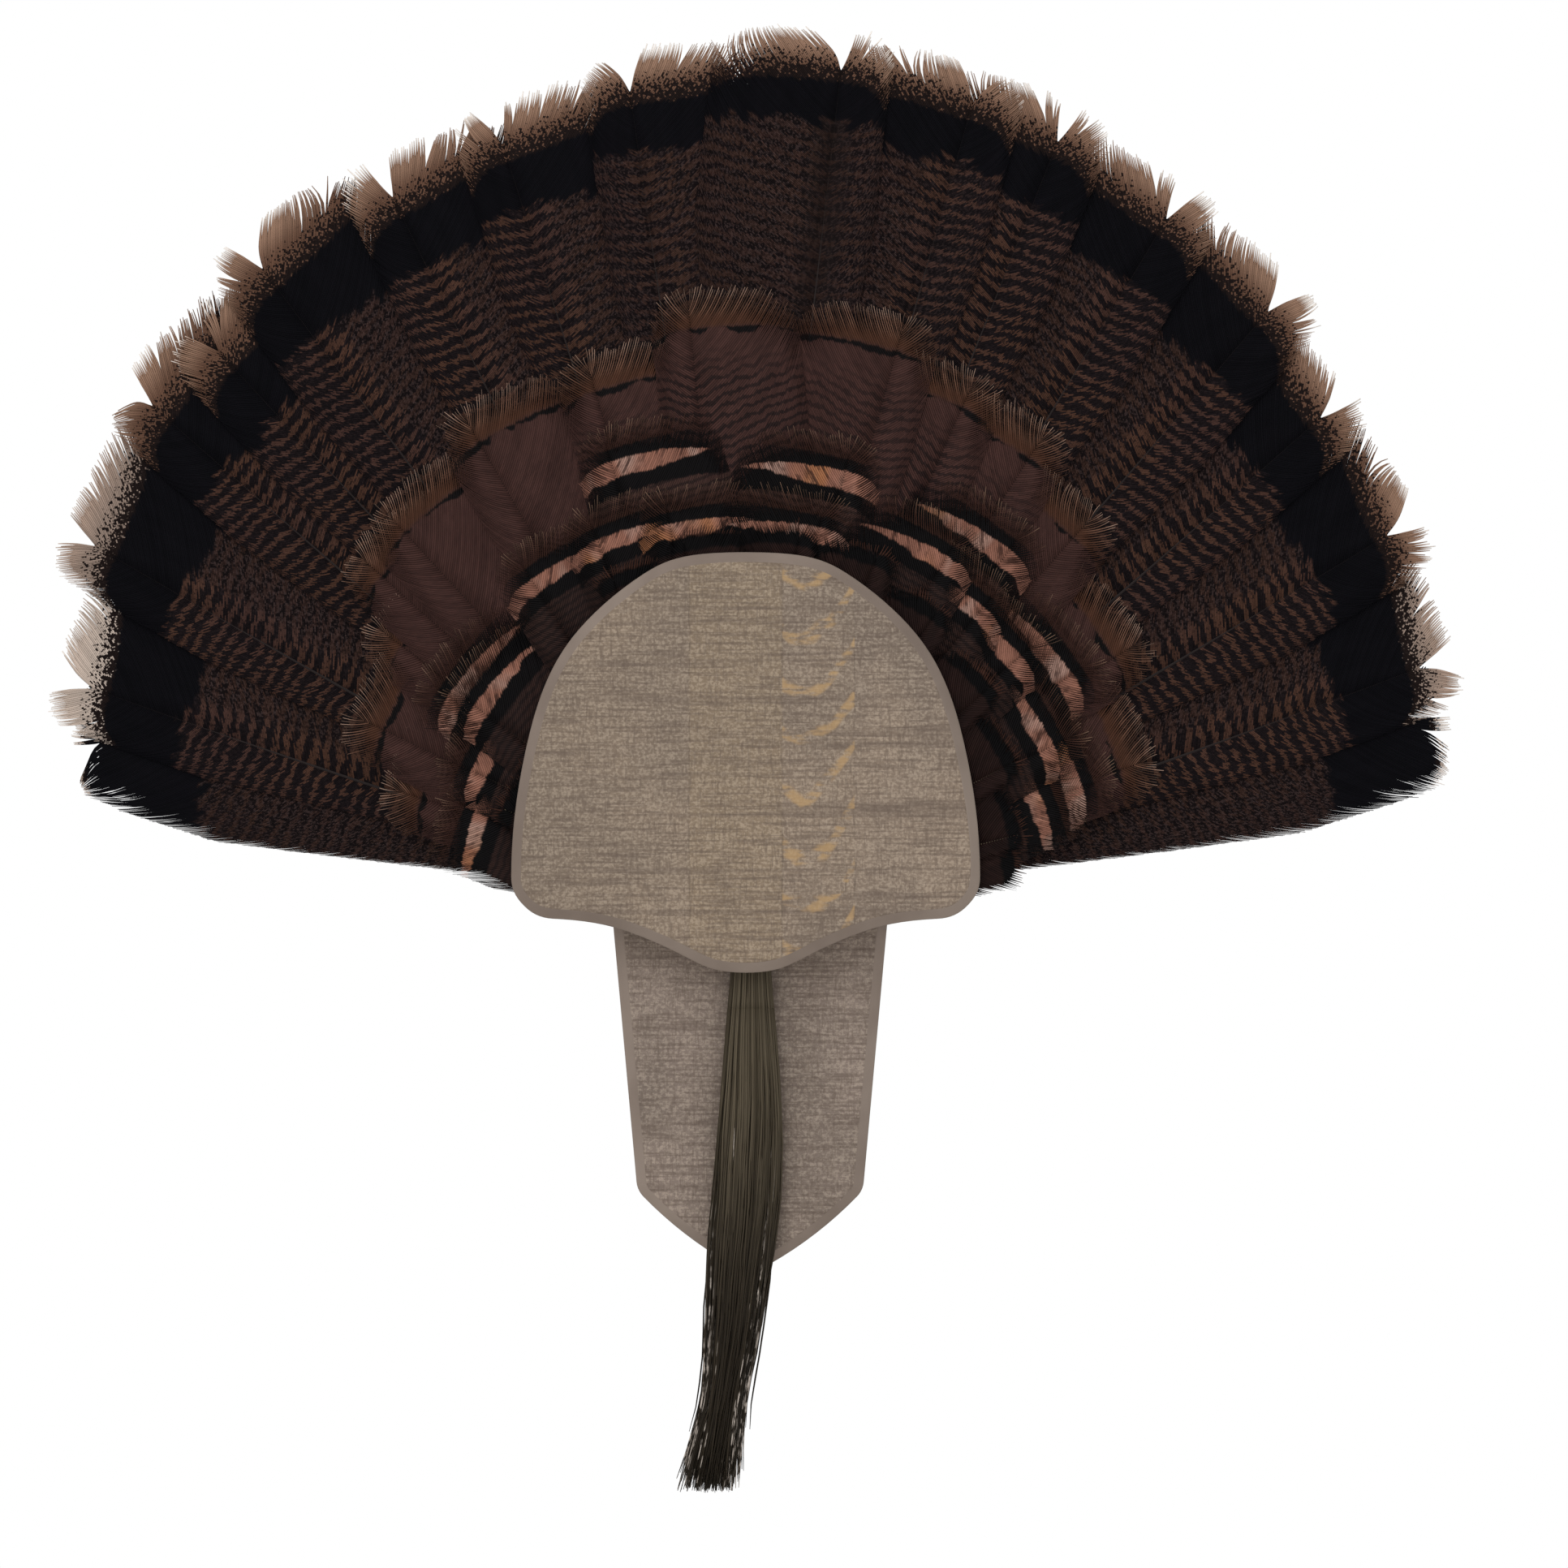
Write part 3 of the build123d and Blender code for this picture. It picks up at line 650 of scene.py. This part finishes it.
def short_covert_material():
    """Short dark covert: near-black web with a dull bronze edge."""
    made, tree, shader = material("covert_keratin_dark", Roughness=0.6, Specular_Ior_Level=0.04)
    t = traits(tree)
    soft = noise(tree, vane_space(tree, t, 16.0, 6.0), 1.0, 3.0)
    jag = swing(tree, soft, 4.0)
    depth = plus(tree, t["vane_z"], jag)
    body = mix(tree, soft, "#120d0d", "#2a1b18")
    colour = mix(tree, step(tree, depth, 12.0, 10.0), body, "#0a090a")
    colour = mix(tree, step(tree, depth, 5.0, 3.0), colour, "#38231c")
    finish_feather(tree, t, shader, colour)
    return made


def shaft_material():
    """Feather shaft: dark keratin on the upper face, clear horn colour at the quill."""
    made, tree, shader = material("quill_keratin", Roughness=0.5, Specular_Ior_Level=0.12)
    t = traits(tree)
    streak = noise(tree, stretched(tree, t["vane"], (0.03, 1.0, 1.0)), 6.0, 3.0)
    horn = mix(tree, streak, "#b39c78", "#d6c7a6")
    dark = mix(tree, streak, "#120d0d", "#211816")
    facing = add(tree, "SeparateXYZ", {0: add(tree, "NewGeometry", out=1)}, out=1)
    front = step(tree, facing, 0.1, -0.3)
    colour = mix(tree, step(tree, t["vane_x"], 70.0, 120.0), horn, dark)
    under = mix(tree, streak, "#8d7a60", "#b8a687")
    colour = mix(tree, front, under, colour)
    tree.links.new(colour, shader.inputs["Base Color"])
    return made


# ---- the tail and its coverts ----------------------------------------------

TAIL_COUNT = sum(1 for name in NODES if name.startswith("tail_feather_"))
TAIL_MIDDLE = TAIL_COUNT // 2
SHAFT = shaft_material()


def tail_feather(number, web):
    """One tail feather, in place of its plain solid.

    away runs from 0 at the middle feather to 1 at the outermost: the outer feathers have the widest
    black band and a paler fringe, the middle ones a browner, more speckled tip.  The fringe is wider
    on the left half of the fan than on the right, and the lowest feather of each half is black almost
    to its end, with its pattern moved towards its narrow outer web."""
    name = f"tail_feather_{number + 1:02d}"
    rng = np.random.default_rng(100 + number)
    quill = Quill(solids_of(name)[0])
    side = 1 if number < TAIL_MIDDLE else -1
    lowest = number in (0, TAIL_COUNT - 1)
    away = abs(number - TAIL_MIDDLE) / TAIL_MIDDLE
    centre = abs(number - TAIL_MIDDLE + 0.4) / TAIL_MIDDLE
    lopsided = np.interp(away, [0.2, 0.6], [0, 1]) * (2.5 if number < TAIL_MIDDLE else -3.0)
    fringe = np.interp(away, [0, 0.4, 1], [9, 15, 13]) + lopsided
    speckled = np.interp(away, [0, 0.4, 0.75, 1], [16, 15, 15, 10])
    black = np.interp(away, [0, 0.35, 0.7, 1], [18, 27, 34, 39])
    black_from = quill.length / MM - fringe - speckled - black
    paleness = np.interp(away, [0.7, 1.0], [0, 1])
    look = {
        "spacing": 0.85 * MM, "stations": 11, "ragged": 1.6 * MM, "gather": 0.5, "splits": 0.05,
        "pull_from": 16 * MM, "sweep_bow": 0.19, "loose": 9 * MM, "fine": 0.3, "taper": 0.6,
        "bow": side * 3 * MM * away, "tilt": 1.2 * MM if number != TAIL_MIDDLE else 0.3 * MM,
        "wave": 0.06 * MM, "curl": 0.4 * MM, "ridge": 0.1 * MM, "shingle": 0.05 * MM,
        "outer": side, "aside_shift": 26 * MM if lowest else 0.0,
        "inner_rise": 12 * MM * min(1, 1.6 * away), "shaft_short": 19 * MM,
        "kind": (np.clip(1.1 - 5 * centre, 0, 1), black_from, number + 1),
        "tipping": (3.0, 5.0, 0.5) if lowest else (fringe, speckled, paleness),
    }
    start = 0.26 * quill.length
    outer_then_inner = [(1.25, 1.0), (25 * MM, 20 * MM), (2.8, 3.2)]
    sweeps, caps, squares = (pair[::side] for pair in outer_then_inner)
    vane = Vane(quill.length, start, (quill.half_left, quill.half_right), sweeps, caps, squares,
                root_share=0.35, notch=(5.5 * MM, 20 * MM))
    batch = Batch()
    put_vane(batch, quill, vane, rng, look)
    put_shaft(batch, quill, look, 1.9 * MM, 1.15 * MM, 0.3 * MM, start)
    made = batch.build(name + "_web", [web, SHAFT])
    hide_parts(name)
    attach(made, "root")


def covert_look(number, quill, barring):
    """The common look of the coverts; the quill's lean tells which side of the fan it is on."""
    side = 1 if quill.axis[0] < 0 else -1
    return {
        "spacing": 1.3 * MM, "stations": 9, "ragged": 1.3 * MM, "gather": 0.16, "splits": 0.12,
        "pull_from": 10 * MM, "sweep_bow": 0.2, "loose": 15 * MM, "fine": 0.15, "taper": 0.36,
        "bow": 0.0, "tilt": 0.9 * MM * min(1, abs(quill.axis[0]) * 3), "wave": 0.05 * MM,
        "curl": 0.8 * MM, "ridge": 0.07 * MM, "shingle": 0.03 * MM,
        "outer": side, "aside_shift": 0.0, "inner_rise": 0.0, "shaft_short": 15 * MM,
        "kind": (barring, 0, number + 1), "tipping": (0, 0, 0),
    }


def covert_node(node, seed, web, start_share, changes=None):
    """All the feathers of one covert node, in place of their plain solids.

    barring, how strongly the web is barred, is greatest for the upright feathers in the middle."""
    batch = Batch()
    for number, points in enumerate(solids_of(node)):
        rng = np.random.default_rng(seed + number)
        quill = Quill(points)
        barring = np.clip(1.15 - 1.1 * abs(quill.axis[0]) - 0.5 * rng.random(), 0.1, 1)
        look = covert_look(seed + number, quill, barring)
        look.update(changes or {})
        start = start_share * quill.length
        halves = (quill.half_left, quill.half_right)
        cap = 0.52 * max(halves)
        vane = Vane(quill.length, start, halves, (1.4, 1.4), (cap, cap), (2.5, 2.5),
                    root_share=0.6, notch=(1.2 * MM, 8 * MM), bend=0.35)
        put_vane(batch, quill, vane, rng, look)
        put_shaft(batch, quill, look, 0.6 * MM, 0.45 * MM, 0.16 * MM, start, 0.35)
    made = batch.build(node + "_web", [web, SHAFT])
    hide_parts(node)
    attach(made, "root")


tail_web = tail_vane_material()
for index in range(TAIL_COUNT):
    tail_feather(index, tail_web)

long_web = long_covert_material()
middle_web = copper_covert_material("covert_keratin_copper_wide", "#2b1a18", "#43302b", 11.0, 26.0, 34.0)
copper_web = copper_covert_material("covert_keratin_copper", "#1c1312", "#33231f", 12.0, 25.5, 33.0)
short_web = short_covert_material()
for node in sorted(NODES):
    if node.startswith("long_covert"):
        covert_node(node, 200 + 3 * int(node[-2:]), long_web, 0.3)
    elif node.startswith("middle_covert"):
        covert_node(node, 300 + 3 * int(node[-1]), middle_web, 0.3)
    elif node.startswith("copper_covert"):
        covert_node(node, 400 + 3 * int(node[-1]), copper_web, 0.25)
    elif node == "short_coverts":
        covert_node(node, 500, short_web, 0.3,
                    {"loose": 5 * MM, "stations": 7, "shaft_short": 6 * MM})


# ---- beard -----------------------------------------------------------------

def beard_hair_material():
    """Turkey beard bristle: coarse, slightly glossy hair, olive brown at the top and near black below."""
    made, tree, shader = material("beard_bristle", Roughness=0.6, Specular_Ior_Level=0.08)
    t = traits(tree)
    top = mix(tree, t["barb_z"], "#3a3328", "#5c5344")
    low = mix(tree, t["barb_z"], "#1a1611", "#322b22")
    colour = mix(tree, step(tree, t["vane_x"], 50.0, 190.0), top, low)
    fleck = times(tree, t["kind_x"], step(tree, t["vane_z"], 90.0, 20.0))
    patch = step(tree, noise(tree, stretched(tree, t["barb"], (1.0, 0.12, 9.0))), 0.45, 0.6)
    colour = mix(tree, times(tree, fleck, patch), colour, "#b5aaa0")
    tree.links.new(colour, shader.inputs["Base Color"])
    return made


knob_low, knob_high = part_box("beard_base")
JOINT = {joint["name"]: joint for joint in frame["joints"]}
SWAY = Vector(JOINT["beard_sway"]["pos_m"])
LIFT = Vector(JOINT["beard_lift"]["pos_m"])
HAIR_TOP = (knob_low.z + knob_high.z) / 2 - 6 * MM
HAIR_CUT = SWAY.z + 0.5 * (LIFT.z - SWAY.z)
BRISTLES = 1500
BRISTLE_HALF, BRISTLE_RIDGE = 0.44 * MM, 0.3 * MM
BRISTLE_STATIONS, BRISTLE_LOCKS = 26, 26
# the bundle's shape: height, centre across, half width and half depth
BEARD = np.array([
    [HAIR_TOP / MM, 2.4, 9.0, 4.8], [-44, 2.4, 9.6, 5.2], [-72, 2.2, 12.2, 5.6], [-105, 2.3, 14.6, 5.6],
    [-123, 1.8, 15.2, 5.5], [-155, 0.2, 15.6, 5.3], [-187, -3.0, 14.2, 5.0], [-219, -6.2, 12.0, 4.6],
    [-251, -10.4, 9.6, 4.2], [-275, -14.6, 11.5, 3.8], [-298, -18.5, 14.0, 3.4],
]) * MM


def smooth(height, column):
    """A column of the beard's table at any height, eased between its rows."""
    rows = BEARD[::-1]
    fine = np.linspace(rows[0, 0], rows[-1, 0], 400)
    values = np.interp(fine, rows[:, 0], rows[:, column])
    kernel = np.hanning(41)
    padded = np.pad(values, 20, mode="edge")
    return np.interp(height, fine, np.convolve(padded, kernel / kernel.sum(), "valid"))


def beard_strands(count, rng):
    """Bristle paths: each keeps its place across the bundle, wanders a little and ends at its own height.

    Also returned are how near the bundle's side each one is, and a random share for each."""
    turn = rng.random(count) * 2 * np.pi
    out = np.sqrt(rng.random(count))
    across, deep = out * np.cos(turn), out * np.sin(turn)
    across = np.sign(across) * np.abs(across) ** 0.8
    tip = BEARD[-1, 0] + np.abs(rng.normal(0, 1, count)) * 22 * MM
    early = rng.random(count) < 0.14
    tip[early] += rng.random(early.sum()) * 110 * MM
    share = np.linspace(0, 1, BRISTLE_STATIONS)[None, :]
    height = HAIR_TOP + (tip[:, None] - HAIR_TOP) * share
    wander = np.cumsum(rng.normal(0, 1, (count, BRISTLE_STATIONS)), 1) * 0.035
    wander -= wander[:, :1]
    own_lock = rng.integers(0, BRISTLE_LOCKS, count)
    lock = rng.normal(0, 1, (BRISTLE_LOCKS, 2))[own_lock]
    near_tip = np.clip((HAIR_TOP - height) / (HAIR_TOP - BEARD[-1, 0]), 0, 1) ** 3
    side = across[:, None] * (1 - 0.25 * near_tip) + wander * share + 0.22 * lock[:, :1] * near_tip
    x = smooth(height, 1) + side * smooth(height, 2)
    y = LIFT.y + (deep[:, None] + 0.2 * lock[:, 1:] * near_tip) * smooth(height, 3)
    path = np.stack([x, y, height], -1)
    return path, np.abs(across), rng.random(count)


def put_hair(name, node, hair, keep):
    """The stretch of every bristle between two heights, keep, as one piece."""
    batch = Batch()
    (paths, edge, chance), (low, high) = hair, keep
    for part in np.array_split(np.arange(len(paths)), 4):
        path = paths[part]
        top = np.minimum(path[:, 0, 2], high)
        bottom = np.maximum(path[:, -1, 2], low)
        kept = top - bottom > 2 * MM
        path, top, bottom = path[kept], top[kept], bottom[kept]
        stations = 8 if low > LIFT.z else 18
        height = top[:, None] + (bottom - top)[:, None] * np.linspace(0, 1, stations)[None, :]
        cut = np.stack([
            np.stack([np.interp(-level, -bristle[:, 2], bristle[:, axis]) for axis in (0, 1)], -1)
            for level, bristle in zip(height, path)])
        cut = np.concatenate([cut, height[..., None]], -1)
        below, to_tip, nothing = HAIR_TOP - height, height - path[:, -1, 2][:, None], 0 * height
        number, luck = part[kept][:, None] + nothing, chance[part][kept][:, None] + nothing
        pale = (edge[part][kept] > 0.55) * (chance[part][kept] > 0.45)
        half = BRISTLE_HALF * np.clip(0.35 + to_tip / (30 * MM), 0, 1) * (0.8 + 0.4 * luck)
        batch.put(strips(cut, FRONT, half, BRISTLE_RIDGE), 0, **three_times({
            "vane": np.stack([below / MM, nothing, to_tip / MM], -1),
            "barb": np.stack([number, below / MM, luck], -1),
            "kind": np.stack([pale[:, None] + nothing, nothing, nothing], -1),
        }))
    made = batch.build(name, [HAIR])
    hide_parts(node)
    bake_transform(made)


HAIR = beard_hair_material()
hair = beard_strands(BRISTLES, np.random.default_rng(7))
put_hair("beard_bristles_top", "beard_hair_upper", hair, (HAIR_CUT, 0.0))
put_hair("beard_bristles_low", "beard_hair_lower", hair, (-1.0, HAIR_CUT))


# ---- wood, filler, skin and steel ------------------------------------------

def rough_sawn_material(name, light, dark, warm, seams, figured):
    """Rough-sawn softwood with a thin grey stain.

    The band saw leaves fine ridges straight across the board, about 1.5 mm apart and broken into
    dashes, over an upright grain.  The stain sits darker in the valleys and on the routed bevel.
    seams are the places along X of the joints between staves, each stave a little different in shade,
    and figured is the pair of seams that a flat-sawn stave lies between.
    """
    made, tree, shader = material(name, Roughness=0.88, Specular_Ior_Level=0.15)
    spot = add(tree, "TexCoord", out=3)
    metres = {letter: add(tree, "SeparateXYZ", {0: spot}, out=i) for i, letter in enumerate("xyz")}
    dashes = noise(tree, stretched(tree, spot, (40.0, 40.0, 760.0)), 1.0, 2.0, 0.6)
    flecks = noise(tree, stretched(tree, spot, (620.0, 400.0, 760.0)), 1.0, 3.0, 0.7)
    passes = noise(tree, stretched(tree, spot, (4.0, 4.0, 190.0)), 1.0, 2.0, 0.5)
    fibre = noise(tree, stretched(tree, spot, (1000.0, 300.0, 130.0)), 1.0, 3.0, 0.65)
    cloud = noise(tree, stretched(tree, spot, (13.0, 13.0, 10.0)), 1.0, 4.0, 0.6)
    colour = mix(tree, step(tree, cloud, 0.36, 0.64), dark, light)
    staves = 0.35
    for number, place in enumerate(seams):
        staves = plus(tree, staves, step(tree, metres["x"], place - 1 * MM, place + 1 * MM, 0.0,
                                                (0.45, -0.6, -0.1)[number % 3]))
    if seams:
        colour = mix(tree, times(tree, staves, 0.8), colour, warm)
    worn = mix(tree, step(tree, flecks, 0.42, 0.62), "#66584e", "#b1a291")
    colour = mix(tree, 0.34, colour, worn)
    colour = mix(tree, step(tree, dashes, 0.52, 0.36, 0.0, 0.5), colour, "#5b4e46")
    colour = mix(tree, step(tree, passes, 0.48, 0.34, 0.0, 0.4), colour, "#5e5149")
    colour = mix(tree, step(tree, fibre, 0.5, 0.66, 0.0, 0.45), colour, "#5f5249")
    height = plus(tree, dashes, times(tree, flecks, 0.8))
    height = plus(tree, height, times(tree, fibre, 0.7))
    for place in seams:
        gap = calc(tree, "ABSOLUTE", minus(tree, metres["x"], place))
        line = times(tree, step(tree, gap, 0.7 * MM, 0.1 * MM), step(tree, fibre, 0.35, 0.6))
        colour = mix(tree, times(tree, line, 0.3), colour, "#4a3f38")
    if figured:
        inside = times(tree, step(tree, metres["x"], figured[0] - 0.4 * MM, figured[0] + 0.4 * MM),
                      step(tree, metres["x"], figured[1] + 0.4 * MM, figured[1] - 0.4 * MM))
        bend = minus(tree, metres["x"], figured[0] + 0.3 * (figured[1] - figured[0]))
        arch = times(tree, times(tree, bend, bend), -38.0)
        rings = plus(tree, plus(tree, metres["z"], arch),
                     times(tree, noise(tree, stretched(tree, spot, (30.0, 10.0, 22.0)), 1.0, 3.0), 0.03))
        rings = ripples(tree, rings, 26 * MM)
        late = times(tree, step(tree, rings, 0.45, 0.95), inside)
        patchy = step(tree, noise(tree, stretched(tree, spot, (90.0, 50.0, 300.0))), 0.4, 0.6)
        colour = mix(tree, times(tree, times(tree, late, patchy), 0.7), colour, "#a88a62")
    facing = calc(tree, "ABSOLUTE", add(tree, "SeparateXYZ", {0: add(tree, "NewGeometry", out=1)}, out=1))
    flat = step(tree, facing, 0.75, 0.98)
    smooth_edge = mix(tree, step(tree, cloud, 0.3, 0.7), "#74675e", "#877a70")
    colour = mix(tree, flat, smooth_edge, colour)
    tree.links.new(colour, shader.inputs["Base Color"])
    soft_corner = add(tree, "Bevel", {"Radius": 2.0 * MM}, samples=6)
    height = times(tree, height, step(tree, facing, 0.75, 0.98, 0.2, 1.0))
    bump(tree, shader, height, 0.5 * MM, 0.8, soft_corner)
    return made


def plain_material(name, low, high, grain, depth, **fixed):
    """A solid finish with a mottled colour and a fine relief; grain is the size of its spots in metres."""
    made, tree, shader = material(name, **fixed)
    spot = add(tree, "TexCoord", out=3)
    spots = noise(tree, spot, 1 / grain, 4.0, 0.6)
    wide = noise(tree, spot, 0.12 / grain, 2.0)
    tone = plus(tree, times(tree, spots, 0.6), times(tree, wide, 0.4))
    colour = mix(tree, step(tree, tone, 0.35, 0.65), low, high)
    tree.links.new(colour, shader.inputs["Base Color"])
    bump(tree, shader, spots, depth, 0.8)
    return made


def dress(node, finish):
    """Puts a material on a node that keeps its own shape."""
    mesh = NODES[node].data
    mesh.materials.clear()
    mesh.materials.append(finish)


panel_low, panel_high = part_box("front_panel")
PANEL_W = panel_high.x - panel_low.x
PANEL_SEAMS = [panel_low.x + share * PANEL_W for share in (0.38, 0.578, 0.732)]
front_wood = rough_sawn_material("pine_rough_sawn_front", "#8b7b6c", "#766a60", "#8b7961", PANEL_SEAMS,
                                 (PANEL_SEAMS[1], PANEL_SEAMS[2]))
back_wood = rough_sawn_material("pine_rough_sawn_back", "#8b7d74", "#736860", "#85796c", [], None)
filler = plain_material("hardened_filler", "#9c8b70", "#c2b293", 2.5 * MM, 0.3 * MM, Roughness=0.8)
skin = plain_material("dried_skin", "#4f3524", "#7d5b40", 3.0 * MM, 0.4 * MM, Roughness=0.6)
zinc = plain_material("zinc_plated_steel", "#9d9788", "#bdb8a8", 1.2 * MM, 0.02 * MM, Metallic=1.0,
                      Roughness=0.34)
brass_zinc = plain_material("yellow_zinc_steel", "#a98f52", "#c9b37a", 1.2 * MM, 0.02 * MM, Metallic=1.0,
                            Roughness=0.36)
for node, finish in {
    "front_panel": front_wood, "back_panel": back_wood, "fan_base": filler, "covert_skin": skin,
    "beard_base": skin, "panel_screws": brass_zinc, "fan_screws": brass_zinc, "beard_screw": brass_zinc,
    "sawtooth_hanger": zinc, "hanger_nails": zinc,
}.items():
    dress(node, finish)


# ---- studio ----------------------------------------------------------------

def studio():
    """White surroundings, a pale floor below, a broad soft key and a camera square to the front."""
    scene = bpy.context.scene
    scene.view_settings.view_transform = "Standard"
    world = bpy.data.worlds.new("white_room")
    world.use_nodes = True
    world.node_tree.nodes["Background"].inputs["Color"].default_value = (1, 1, 1, 1)
    world.node_tree.nodes["Background"].inputs["Strength"].default_value = 1.0
    scene.world = world

    sides, radius, level = 96, 1.5, -0.80
    turn = np.linspace(0, 2 * np.pi, sides, endpoint=False)
    rim = np.stack([radius * np.cos(turn), radius * np.sin(turn), np.full(sides, level)], 1)
    mesh = bpy.data.meshes.new("floor")
    mesh.from_pydata(rim.tolist(), [], [list(range(sides))])
    floor = bpy.data.objects.new("floor", mesh)
    scene.collection.objects.link(floor)
    paint, tree, shader = material("pale_floor", Roughness=0.9)
    spot = add(tree, "TexCoord", out=3)
    tone = mix(tree, noise(tree, spot, 3.0, 2.0), "#e4e2de", "#ecebe8")
    tree.links.new(tone, shader.inputs["Base Color"])
    mesh.materials.append(paint)

    light = bpy.data.lights.new("soft_key", "AREA")
    light.shape, light.size, light.energy = "DISK", 1.6, 16.0
    key = bpy.data.objects.new("soft_key", light)
    key.location = (-0.7, -1.7, 1.5)
    key.rotation_euler = (Vector((0, 0, 0.05)) - key.location).to_track_quat("-Z", "Y").to_euler()
    scene.collection.objects.link(key)

    lens = bpy.data.cameras.new("camera")
    lens.lens, lens.sensor_width = 100.0, 36.0
    camera = bpy.data.objects.new("camera", lens)
    across = 0.769      # width of the view in the plane of the feathers
    centre = Vector((0.0187, cad_low.y * 0.6, 0.0494))
    camera.location = centre - Vector((0, across / 2 / (lens.sensor_width / 2 / lens.lens), 0))
    camera.rotation_euler = (np.pi / 2, 0, 0)
    scene.collection.objects.link(camera)
    scene.camera = camera


studio()
